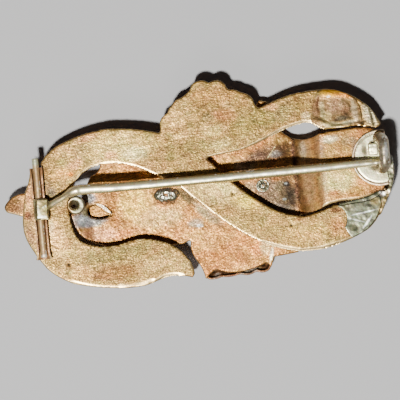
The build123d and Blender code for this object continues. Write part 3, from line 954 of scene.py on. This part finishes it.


# %% [markdown]
# ### Gilt sheet
# The base is a gold tan that wanders to brown and to greenish grey where the gilding is gone.
# Marks are single ovals of colour, each in a row of a table: its place along X and Y, half its
# width and depth, its colour and strength, and where needed its turn, softness and raggedness.
# Most are stains; those that paint shade, a shadow or a highlight say so where they stand.


# %% Gilt finishes
def aged_gilt(
    name, pieces, pale, mid, brown, dark, streak_turn, marks, speckle=0.7, streak=1.0, metallic=0.8,
    rim=(0.6, 0.7), grit=1.0, dull=()
):
    finish = Finish(name, pieces, metallic)
    wide = finish.cloud(5.0, shift=3.0, detail=3.0)
    middle = finish.cloud(1.6, shift=11.0, detail=4.0, rough=0.6)
    patchy = finish.cloud(0.75, shift=17.0, detail=2.0)
    fine = finish.cloud(0.34, shift=5.0, detail=1.5, rough=0.6)
    finer = finish.cloud(0.19, shift=31.0, detail=1.0)
    streaks = finish.cloud((1.2, 0.14, 1.2), turn=streak_turn, shift=7.0, detail=3.0, rough=0.7)
    hue = finish.blend(finish.between(wide, 0.36, 0.64), mid, pale)
    hue = finish.blend(finish.between(middle, 0.44, 0.7, 0.0, 0.7), hue, brown)
    hue = finish.marked(hue, marks)
    hue = finish.tinted(hue, 1.4, 0.3, shift=41.0)
    hue = finish.tinted(hue, 0.28, 0.3, shift=43.0)
    hue = finish.shaded(hue, finish.between(patchy, 0.3, 0.7, 0.76, 1.22))
    hue = finish.shaded(hue, finish.between(streaks, 0.34, 0.66, 1.0 - 0.38 * streak, 1.0 + 0.4 * streak))
    hue = finish.shaded(hue, finish.between(finer, 0.3, 0.7, 1 - 0.38 * grit, 1 + 0.42 * grit))
    dirt = finish.between(fine, 0.54, 0.7)
    dirt_zone = finish.between(finish.cloud(2.2, shift=19.0, detail=4.0), 0.4, 0.6, 0.15, 1.0)
    dirt = finish.times(finish.times(dirt, dirt_zone), speckle)
    hue = finish.blend(dirt, hue, dark)
    # Creases are painted darker.
    crease = finish.between(finish.sharp, 0.494, 0.47, 0.0, 0.8)
    hue = finish.blend(crease, hue, dark)
    # Edges are painted pale: rubbed metal, and a painted highlight on the rims that face the key light.
    edge = finish.maths("MAXIMUM", finish.between(finish.sharp, *rim), finish.between(finish.rim, 0.05, 0.4))
    hue = finish.blend(finish.times(edge, 0.75), hue, (226, 192, 130))
    finish.give("Base Color", hue)
    worn = finish.between(finer, 0.35, 0.65, 0.52, 0.34)
    finish.give("Roughness", finish.between(edge, 0.0, 1.0, worn, 0.28))
    for place, size in dull:
        tarnished = finish.spot(place, size, soft=0.3, ragged=0.2)
        finish.give("Metallic", finish.between(tarnished, 0.0, 1.0, metallic, 0.2))
    height = finish.maths("ADD", finish.times(streaks, 0.7), fine)
    finish.relief(height, 0.05, finish.between(edge, 0.0, 1.0, 0.8, 0.15))


PINK = (180, 124, 79)
CREAM = (191, 170, 112)
YELLOW = (191, 160, 63)
ORANGE = (160, 93, 22)
OLIVE = (112, 99, 45)
UMBER = (90, 58, 27)
SOOT = (42, 32, 21)
ASH = (96, 96, 94)

upper_marks = [
    (-11.0, 5.8, 5.0, 2.3, (183, 152, 84), 0.9, 8),
    (-16.5, 5.2, 2.2, 1.8, (140, 110, 64), 0.75, 20),
    (-8.6, 4.7, 1.7, 0.9, CREAM, 0.7),
    (-12.0, 4.7, 0.8, 0.5, PINK, 0.5),
    (-14.9, 7.5, 1.3, 0.5, PINK, 0.6, 15),
    (-17.2, 3.8, 1.0, 0.6, PINK, 0.6, 30),
    (-18.9, 2.7, 1.7, 0.8, (189, 140, 69), 0.8),
    (-17.8, 2.6, 0.4, 0.3, ORANGE, 0.9),
    (-7.1, 7.1, 1.3, 0.5, OLIVE, 0.6),
    (-9.3, 5.9, 0.5, 0.4, OLIVE, 0.5),
    (-11.3, 4.9, 0.4, 0.5, UMBER, 0.4),
    (-19.0, 4.4, 0.9, 0.5, OLIVE, 0.4),
    (-21.3, 3.6, 0.5, 1.3, UMBER, 0.6),
    (-21.3, 1.3, 0.7, 1.2, (102, 80, 52), 0.7),
    (-20.7, 0.3, 0.6, 0.6, (87, 75, 66), 0.6),
    (-24.3, -2.6, 0.6, 0.6, (72, 33, 20), 0.85, 20),
    (-23.7, -3.1, 0.6, 0.8, (92, 66, 42), 0.8),
    (-24.2, -5.4, 0.6, 1.8, (112, 84, 60), 0.6, 10),
    (-24.0, 0.4, 0.6, 2.0, PINK, 0.6, 5),
    (-19.9, -1.0, 1.1, 0.8, (128, 114, 72), 0.7),
    (-20.6, -6.4, 1.3, 2.4, (186, 142, 82), 0.7, 5),
    (-22.4, -5.3, 1.1, 2.2, (216, 166, 98), 0.95, 8),
    (-21.2, -4.6, 0.4, 0.9, CREAM, 0.6),
    (-13.0, -9.2, 5.0, 1.1, (94, 80, 40), 0.75, 3),
    (-13.0, -11.7, 4.4, 0.9, (105, 72, 34), 0.8, 3),
    (-17.7, -11.8, 1.6, 0.7, (168, 126, 66), 0.7),
    (-7.0, -11.0, 2.4, 1.0, (154, 124, 70), 0.7, 10),
    (-19.2, -10.0, 0.14, 0.1, SOOT, 0.8),
    (2.0, -1.8, 3.6, 1.8, (174, 144, 84), 0.7, -10),
    (2.6, -1.2, 3.0, 0.8, (190, 164, 96), 0.7, -22),
    (6.4, -3.6, 1.8, 0.8, YELLOW, 0.85, -25),
    (8.0, -6.6, 4.6, 1.5, (132, 106, 54), 0.7, -12),
    (14.5, -8.6, 3.4, 1.5, (162, 126, 63), 0.8, 5),
    (18.7, -8.2, 1.2, 1.3, (165, 108, 58), 0.6),
    (18.8, -5.9, 0.9, 0.5, (63, 34, 14), 0.9),
    (13.4, -6.7, 0.6, 0.2, UMBER, 0.7),
    (12.4, -7.5, 0.13, 0.1, SOOT, 0.8),
    (-2.6, 9.1, 1.8, 1.1, (189, 150, 84), 0.8, -10),
    (-2.0, 6.4, 1.2, 0.5, (186, 146, 81), 0.7, 20),
    (4.4, 8.9, 1.6, 0.9, (147, 96, 52), 0.7),
    (3.4, 11.6, 3.0, 1.1, (154, 110, 57), 0.7, -5),
    (2.1, 8.6, 0.9, 0.7, (112, 94, 56), 0.5),
    (2.9, 6.9, 1.6, 0.8, (176, 144, 80), 0.75),
    (0.0, 4.9, 4.2, 1.0, (105, 88, 45), 0.6),
    (3.5, 4.8, 1.6, 0.7, (170, 142, 82), 0.6, 10),
    (7.4, 7.0, 1.8, 1.2, OLIVE, 0.5, 10),
    (-3.6, 3.8, 0.9, 0.6, OLIVE, 0.5),
    (9.6, 8.0, 1.6, 1.0, OLIVE, 0.5, -10),
    (11.0, 9.4, 1.1, 0.5, PINK, 0.6, -20),
    (12.6, 8.2, 1.8, 1.1, (118, 104, 60), 0.5),
    (15.8, 7.6, 0.6, 0.6, CREAM, 0.7),
    (14.6, 10.2, 0.5, 0.4, UMBER, 0.6),
    (17.0, 8.3, 0.45, 1.3, (92, 66, 40), 0.8, 5),
    (24.9, 7.2, 1.0, 1.7, (180, 164, 124), 0.9, 10),
]
lower_marks = [
    (-26.6, -1.3, 1.7, 1.5, (88, 60, 32), 0.95),
    (-25.2, -0.8, 0.4, 1.3, (150, 104, 68), 0.6, 5),
    (-15.5, -1.0, 0.9, 0.8, (124, 126, 124), 0.9),
    (-17.3, -1.8, 1.3, 1.3, (110, 108, 98), 0.85),
    (-16.7, -4.1, 1.3, 0.9, (172, 174, 172), 0.9),
    (-15.4, -4.5, 1.5, 0.6, (124, 125, 120), 0.85),
    (-16.3, -3.0, 0.4, 0.6, (120, 112, 84), 0.7),
    (-14.1, -4.1, 1.0, 0.4, ASH, 0.7),
    (-14.6, -6.2, 2.2, 1.0, (183, 128, 88), 0.75),
    (-11.0, -6.4, 1.3, 0.6, (165, 98, 52), 0.65, 10),
    (-12.5, -2.6, 0.8, 2.4, (120, 78, 33), 0.8, 5),
    (-13.5, -0.8, 1.1, 0.7, (132, 93, 57), 0.6),
    (-14.8, -2.9, 0.8, 0.8, (154, 111, 50), 0.8),
    (-9.2, -2.6, 2.0, 2.2, (191, 152, 69), 0.95),
    (-6.0, -4.6, 2.8, 1.3, (191, 154, 93), 0.7),
    (-6.4, -5.3, 0.08, 0.7, UMBER, 0.8, 35),
    (-4.6, -2.5, 1.7, 0.5, (57, 38, 22), 0.85),
    (-5.8, -1.1, 1.0, 0.8, (99, 70, 39), 0.75),
    (-1.8, -2.1, 1.9, 0.8, (68, 58, 38), 0.9, -42),
    (0.3, -4.4, 1.5, 0.7, (142, 126, 90), 0.85, -45),
    (1.6, -5.6, 1.3, 0.6, (126, 106, 74), 0.85, -40),
    (-0.9, -5.9, 1.0, 0.6, (142, 126, 104), 0.7),
    (-0.4, -6.3, 0.45, 0.2, (177, 172, 165), 0.85),
    (1.5, -11.4, 2.6, 1.4, (153, 96, 46), 0.6),
    (2.3, -9.9, 0.5, 0.6, (128, 78, 34), 0.6),
    (6.2, -9.2, 2.4, 1.2, (165, 100, 46), 0.6, -20),
    (8.5, -10.2, 0.7, 1.0, (191, 159, 104), 0.8),
    # Painted highlight on the raised corner at the fan's right end.
    (9.25, -11.3, 0.25, 0.9, (226, 210, 170), 0.9, -12),
    (7.0, -1.6, 0.8, 0.7, (147, 126, 92), 0.7),
    # Greyer tint painted where the pin's shadow falls, to set that shadow's colour.
    (6.6, 1.4, 1.6, 0.9, (144, 124, 96), 0.8),
    (10.6, -3.0, 3.2, 3.0, (88, 74, 57), 0.9),
    (12.9, -3.4, 0.8, 1.5, (50, 42, 33), 0.85, 12),
    (10.5, 3.0, 3.0, 1.2, (84, 62, 44), 0.9, 5),
    (11.1, 2.7, 0.8, 0.5, (116, 108, 96), 0.85),
    (7.4, 2.3, 1.2, 0.7, (96, 72, 44), 0.85, 20),
    (8.6, 2.6, 1.2, 0.6, (84, 62, 46), 0.8, 5),
    (10.6, 3.1, 0.06, 1.1, CREAM, 0.8, -38),
    (13.0, 3.4, 0.8, 1.3, (69, 46, 21), 0.8),
    (11.0, -0.7, 0.7, 0.4, (132, 84, 40), 0.8),
    (12.3, -1.6, 0.5, 0.4, (38, 34, 32), 0.85),
    (12.2, -1.5, 0.2, 0.14, (154, 153, 147), 0.8),
    (13.0, -2.9, 0.5, 0.35, SOOT, 0.8, 30),
    (11.8, -3.7, 0.28, 0.18, (170, 165, 153), 0.8),
    (11.6, -5.1, 1.6, 0.6, (110, 99, 84), 0.7, -15),
    # Painted shade along the dip where the ribbon turns away from the light.
    (13.75, 0.0, 0.4, 6.0, (50, 27, 12), 0.92),
    (15.2, 0.0, 1.1, 6.0, (172, 130, 84), 0.9),
    (14.9, 3.0, 0.5, 1.2, (206, 174, 130), 0.8),
    (16.9, 0.0, 0.45, 6.0, (146, 104, 64), 0.8),
    (19.8, 3.0, 2.4, 2.2, (142, 110, 56), 0.8),
    (19.6, -1.8, 2.4, 1.6, (191, 170, 99), 0.95),
    (18.9, 4.1, 1.2, 0.5, (191, 174, 128), 0.9, 5),
    (21.4, 3.6, 1.0, 0.8, (132, 106, 72), 0.6),
    (18.8, -3.5, 0.8, 0.35, (168, 106, 60), 0.7, 10),
    (22.0, -3.3, 1.2, 0.45, (154, 111, 52), 0.8, 10),
    (22.2, 1.8, 0.5, 2.0, (112, 96, 72), 0.7),
    (24.6, -3.9, 1.4, 0.4, (84, 58, 32), 0.85, 10),
]
cushion_marks = [
    (-11.5, 2.6, 4.5, 1.2, (177, 112, 63), 0.8),
    (5.0, -13.4, 5.0, 1.0, (140, 100, 70), 0.8, 3),
    # Painted highlights: small bright specks in the shaded rim below the fan.
    (1.3, -13.5, 0.5, 0.3, (214, 196, 168), 0.8, 20),
    (6.1, -13.3, 1.1, 0.25, (214, 196, 168), 0.8, 12),
    (26.6, 0.0, 1.2, 5.5, (132, 124, 93), 0.8),
]
patch_marks = [
    (19.5, 10.5, 1.4, 0.55, (180, 126, 22), 0.95, -5),
    (21.5, 10.0, 1.5, 0.35, (177, 114, 42), 0.9, -14),
    # Painted highlight in the seam along the patch's top.
    (19.2, 10.05, 0.3, 0.12, (191, 183, 160), 0.9),
    (20.4, 8.6, 1.5, 1.1, (132, 99, 69), 0.8),
    (17.3, 8.3, 0.45, 1.3, (104, 74, 46), 0.8, 5),
    (17.7, 9.7, 0.14, 0.8, (56, 30, 14), 0.8, -10),
    (18.2, 8.2, 0.35, 1.2, (150, 134, 90), 0.7, 5),
    (18.9, 7.1, 0.5, 0.8, (180, 152, 92), 0.8),
    (21.8, 7.7, 1.0, 0.7, (84, 60, 38), 0.85, 20),
    (20.8, 6.8, 1.2, 0.4, (50, 44, 32), 0.9, 5),
    (19.3, 6.1, 1.1, 0.4, (170, 156, 105), 0.85, -8),
    (21.8, 6.2, 1.2, 0.25, (150, 136, 100), 0.8, 6),
    (22.7, 7.8, 0.4, 1.4, (168, 144, 104), 0.85, 8),
    (23.65, 7.4, 0.09, 1.4, (34, 24, 15), 0.95, 8),
    (25.0, 7.2, 0.9, 1.4, (196, 184, 156), 0.9),
]
aged_gilt(
    "upper_gilt", ["upper_sheet"], (147, 117, 64), (129, 100, 52), (104, 75, 38), (44, 36, 20), 3, upper_marks
)
aged_gilt(
    "lower_gilt", ["lower_sheet", "torn_tongue"], (180, 132, 69), (166, 112, 57), (128, 81, 40),
    (52, 33, 20), 20, lower_marks, streak=0.5, speckle=0.55, dull=[((16.3, 0.0), (1.8, 6.5))]
)
aged_gilt(
    "cushion_gilt", [*CUSHIONS.values(), "left_collet", "centre_collet", "right_collet"], (162, 112, 60),
    (138, 92, 46), (100, 62, 32), (39, 24, 14), 0, cushion_marks, metallic=0.5, rim=(0.56, 0.62)
)
aged_gilt(
    "patch_gilt", ["arm_patch"], (126, 100, 60), (112, 88, 52), (98, 72, 42), (46, 34, 20), 60, patch_marks,
    speckle=0.3, streak=0.3, grit=0.4
)
aged_gilt(
    "hinge_gilt", ["upper_channel", "lower_channel"], (176, 132, 88), (146, 100, 62), (104, 64, 38),
    (40, 24, 14), 90, [], speckle=0.3, streak=0.5, rim=(0.56, 0.62), metallic=0.4, grit=0.5
)

# %% [markdown]
# ### Nickel and lead
# The pin and catch are nickel alloy, paler and yellower than silver and dull with age. Solder is
# greyer, softer and wrinkled. Both use the same patterns with other colours. The pin's wire falls
# a little towards its point, and its underside is painted dark as shade, so that it throws less
# light into the shadow that it casts.


# %% White metals
PIN_FALL = 0.02
PIN_LEVEL = 7.67 * MM


def white_metal(
    name, pieces, pale, dull, dark, rough, dirt_amount, relief, marks=(), rim=(0.54, 0.6), size=1.1,
    metallic=0.9, wire_height=None
):
    finish = Finish(name, pieces, metallic)
    middle = finish.cloud(size, shift=2.0, detail=5.0, rough=0.6)
    fine = finish.cloud(0.24, shift=9.0, detail=2.0, rough=0.6)
    hue = finish.blend(finish.between(middle, 0.35, 0.7), pale, dull)
    # The wire's underside, beyond the bend, is painted dark as shade.
    if wire_height:
        reach = finish.add("ShaderNodeSeparateXYZ", {0: finish.place}).outputs
        level = finish.maths("ADD", reach["Z"], finish.times(reach["X"], PIN_FALL))
        under = finish.between(level, wire_height, wire_height - 0.3 * MM)
        under = finish.times(under, finish.between(reach["X"], -17.5 * MM, -16.0 * MM))
        hue = finish.blend(under, hue, (48, 36, 26))
    hue = finish.marked(hue, marks)
    hue = finish.tinted(hue, 0.3, 0.5, shift=43.0)
    hue = finish.blend(finish.times(finish.between(fine, 0.52, 0.72), dirt_amount), hue, dark)
    # Creases are painted darker.
    crease = finish.between(finish.sharp, 0.49, 0.46, 0.0, 0.85)
    hue = finish.blend(crease, hue, dark)
    # Convex edges are painted nearly white: rubbed metal and a painted highlight.
    edge = finish.times(finish.between(finish.sharp, *rim), 0.6)
    hue = finish.blend(edge, hue, (250, 246, 230))
    finish.give("Base Color", hue)
    finish.give("Roughness", finish.between(middle, 0.3, 0.7, *rough))
    finish.relief(finish.maths("ADD", finish.times(middle, 0.8), fine), relief, 0.6)


pin_marks = [
    # The first three rows paint light on the wire: painted shade along its upper and lower sides, and a
    # painted highlight down its middle.
    (4.0, 0.78, 22.0, 0.24, (144, 112, 64), 0.85, 0, 0.3, 0.2),
    (4.0, -0.4, 22.0, 0.16, (156, 140, 84), 0.8, 0, 0.3, 0.2),
    (4.0, 0.1, 22.0, 0.18, (255, 250, 222), 0.9, 0, 0.3, 0.2),
    (-22.2, -1.9, 1.5, 2.0, (132, 114, 74), 1.0),
    (-19.5, 0.4, 2.0, 1.6, (196, 170, 120), 0.7),
]
knuckle_marks = [
    # Painted highlights: the first row on the lap's left bevel, the second along its lower edge.
    (-22.9, -1.7, 0.26, 1.5, (214, 204, 166), 0.8, 18),
    (-22.4, -3.0, 0.7, 0.2, (226, 226, 216), 0.7),
    (-21.7, -1.8, 0.4, 1.5, (104, 92, 56), 0.7, 8),
]
rod_marks = [
    (-22.55, 5.0, 0.8, 0.8, (176, 180, 146), 0.9),
    (-22.3, -8.6, 0.7, 0.4, (255, 244, 214), 0.95),
]
disc_marks = [
    (25.58, 0.84, 3.46, 3.46, (255, 246, 194), 1.0, 0, 0.03, 0.0),
    # Painted shadow beside the tab in this row, and the tab's cast shadow beyond its far side in the next.
    (23.5, 2.3, 0.42, 1.1, (62, 54, 34), 0.9),
    (24.7, 3.2, 0.5, 0.2, (56, 48, 32), 0.9),
    (25.1, -0.6, 1.5, 0.6, (70, 56, 34), 0.95, -25),
    (23.6, 3.6, 1.4, 0.8, (176, 168, 130), 0.7, 30),
    (25.6, -1.6, 0.9, 0.5, (170, 156, 118), 0.6, -30),
    (21.9, -1.8, 0.35, 1.6, (120, 112, 96), 0.7, -20),
    (22.8, -2.5, 0.9, 0.3, (110, 100, 82), 0.6, -40),
]
hook_marks = [
    # Painted shade on the hook's free end, where it turns down away from the light.
    (25.4, 3.5, 0.7, 0.7, (112, 92, 62), 0.7),
    (25.9, -1.1, 0.8, 0.6, (104, 86, 56), 0.8),
    # Painted highlight along the top of the hook's arch.
    (26.4, 1.7, 0.24, 1.1, (255, 252, 240), 0.9),
]
lead_marks = [
    (25.3, -6.2, 0.5, 1.8, (124, 104, 64), 0.9, -22),
    (24.4, -5.2, 0.7, 0.6, (120, 100, 56), 0.7),
    # Painted glint on a lump of solder.
    (25.6, -4.3, 0.5, 0.3, (236, 232, 214), 0.8, -30),
    (26.0, -4.6, 0.3, 0.7, (92, 76, 36), 0.8, -25),
    (27.0, -1.6, 0.35, 2.4, (126, 124, 98), 0.8, -4),
    # Painted highlight on the strip's rounded top.
    (27.15, 0.6, 0.3, 0.4, (226, 226, 210), 0.8),
    (20.4, -5.6, 0.9, 0.7, (84, 76, 52), 0.7),
    # Painted highlights: three thin bright streaks on the solder.
    (22.6, -6.6, 1.6, 0.1, (224, 226, 214), 0.8, 8),
    (23.0, -8.0, 0.9, 0.14, (240, 240, 228), 0.9, 50),
    (21.6, -7.6, 1.2, 0.1, (190, 192, 176), 0.7, -20),
    (21.0, -8.6, 0.8, 0.5, (92, 90, 64), 0.6),
]
white_metal(
    "pin_nickel", ["pin_wire"], (255, 240, 186), (250, 228, 164), (146, 120, 70), (0.26, 0.32), 0.25, 0.008,
    pin_marks, metallic=0.8, wire_height=PIN_LEVEL
)
white_metal(
    "disc_nickel", ["catch_disc", "catch_tab", "torn_flap"], (216, 186, 146), (196, 170, 134), (96, 84, 62),
    (0.32, 0.42), 0.4, 0.02, disc_marks
)
white_metal(
    "hook_nickel", ["catch_hook"], (188, 176, 150), (132, 118, 94), (58, 44, 30), (0.26, 0.36), 0.5, 0.015,
    hook_marks, metallic=0.7
)
white_metal(
    "knuckle_metal", ["knuckle_lap"], (138, 124, 84), (112, 100, 62), (60, 46, 28), (0.34, 0.46), 0.35, 0.015,
    knuckle_marks
)
white_metal(
    "rod_metal", ["rod"], (190, 158, 112), (162, 126, 82), (90, 62, 38), (0.4, 0.5), 0.35, 0.012, rod_marks,
    metallic=0.45
)
white_metal(
    "lead", ["end_solder", "seam_solder"], (118, 120, 98), (94, 94, 72), (60, 56, 40), (0.22, 0.36), 0.35,
    0.012, lead_marks, size=0.8
)
white_metal(
    "strip_lead", ["end_strip"], (150, 138, 108), (118, 106, 80), (62, 52, 36), (0.26, 0.4), 0.35, 0.012,
    lead_marks, size=0.8
)
white_metal(
    "post_lead", ["solder_lump", "rivet_head"], (176, 174, 152), (140, 136, 110), (70, 60, 44), (0.22, 0.36),
    0.4, 0.02
)
white_metal(
    "ring_silver", ["chain_loop"], (168, 164, 134), (132, 124, 94), (70, 60, 44), (0.3, 0.45), 0.5, 0.02,
    [(-18.4, -1.8, 0.6, 1.2, (146, 112, 66), 0.8)]
)

# %% [markdown]
# ### Garnet
# A garnet is a deep red glass. Its colour is in its depth, so it is a transmissive shader with a
# wine red tint, and faint clouds inside.

# %% Garnet
garnet = Finish("garnet_red", ["left_garnet", "centre_garnet", "right_garnet"], 0.0)
garnet.shader.inputs["Transmission Weight"].default_value = 0.85
garnet.shader.inputs["IOR"].default_value = 1.76
garnet.shader.inputs["Roughness"].default_value = 0.04
garnet.give("Base Color", garnet.blend(garnet.cloud(1.5, detail=3.0), (120, 10, 22), (84, 4, 14)))

# %% [markdown]
# ## Floor and light
# A plain pale floor, one key light from the lower left, a window low at the bottom whose light
# catches the edges, and a wide soft light overhead.

# %% Floor
FLOOR_COLOUR = (0.46, 0.455, 0.45, 1)

bpy.ops.object.select_all(action="DESELECT")
bpy.ops.mesh.primitive_plane_add(size=2.0, location=(0, 0, 0))
floor = bpy.context.object
floor.name = "floor"
floor_paint = bpy.data.materials.new("floor_paint")
floor_paint.use_nodes = True
paint = floor_paint.node_tree.nodes["Principled BSDF"]
paint.inputs["Base Color"].default_value = FLOOR_COLOUR
paint.inputs["Roughness"].default_value = 0.8
floor.data.materials.append(floor_paint)

# %% [markdown]
# Each light has a direction, a distance and a size in metres, and a power in watts.

# %% Light
LIGHTS = (
    ("key", (-0.165, -0.268, 1.0), 0.7, 0.05, 9.0),
    ("window", (-0.25, -1.0, 1.0), 0.7, 0.28, 0.65),
    ("overhead", (0.2, 0.3, 1.0), 0.9, 1.1, 0.07),
)
SKY_COLOUR = (0.86, 0.86, 1.04, 1)
SKY_STRENGTH = 0.024

for name, direction, distance, size, power in LIGHTS:
    towards = Vector(direction).normalized()
    bpy.ops.object.light_add(type="AREA", location=towards * distance)
    light = bpy.context.object
    light.name = name
    light.data.shape = "DISK"
    light.data.size = size
    light.data.energy = power
    light.rotation_euler = towards.to_track_quat("Z", "Y").to_euler()

bpy.ops.world.new()
world = bpy.data.worlds[-1]
bpy.context.scene.world = world
world.use_nodes = True
sky = world.node_tree.nodes["Background"]
sky.inputs["Color"].default_value = SKY_COLOUR
sky.inputs["Strength"].default_value = SKY_STRENGTH
print(len(LIGHTS), "lights and a faint sky")
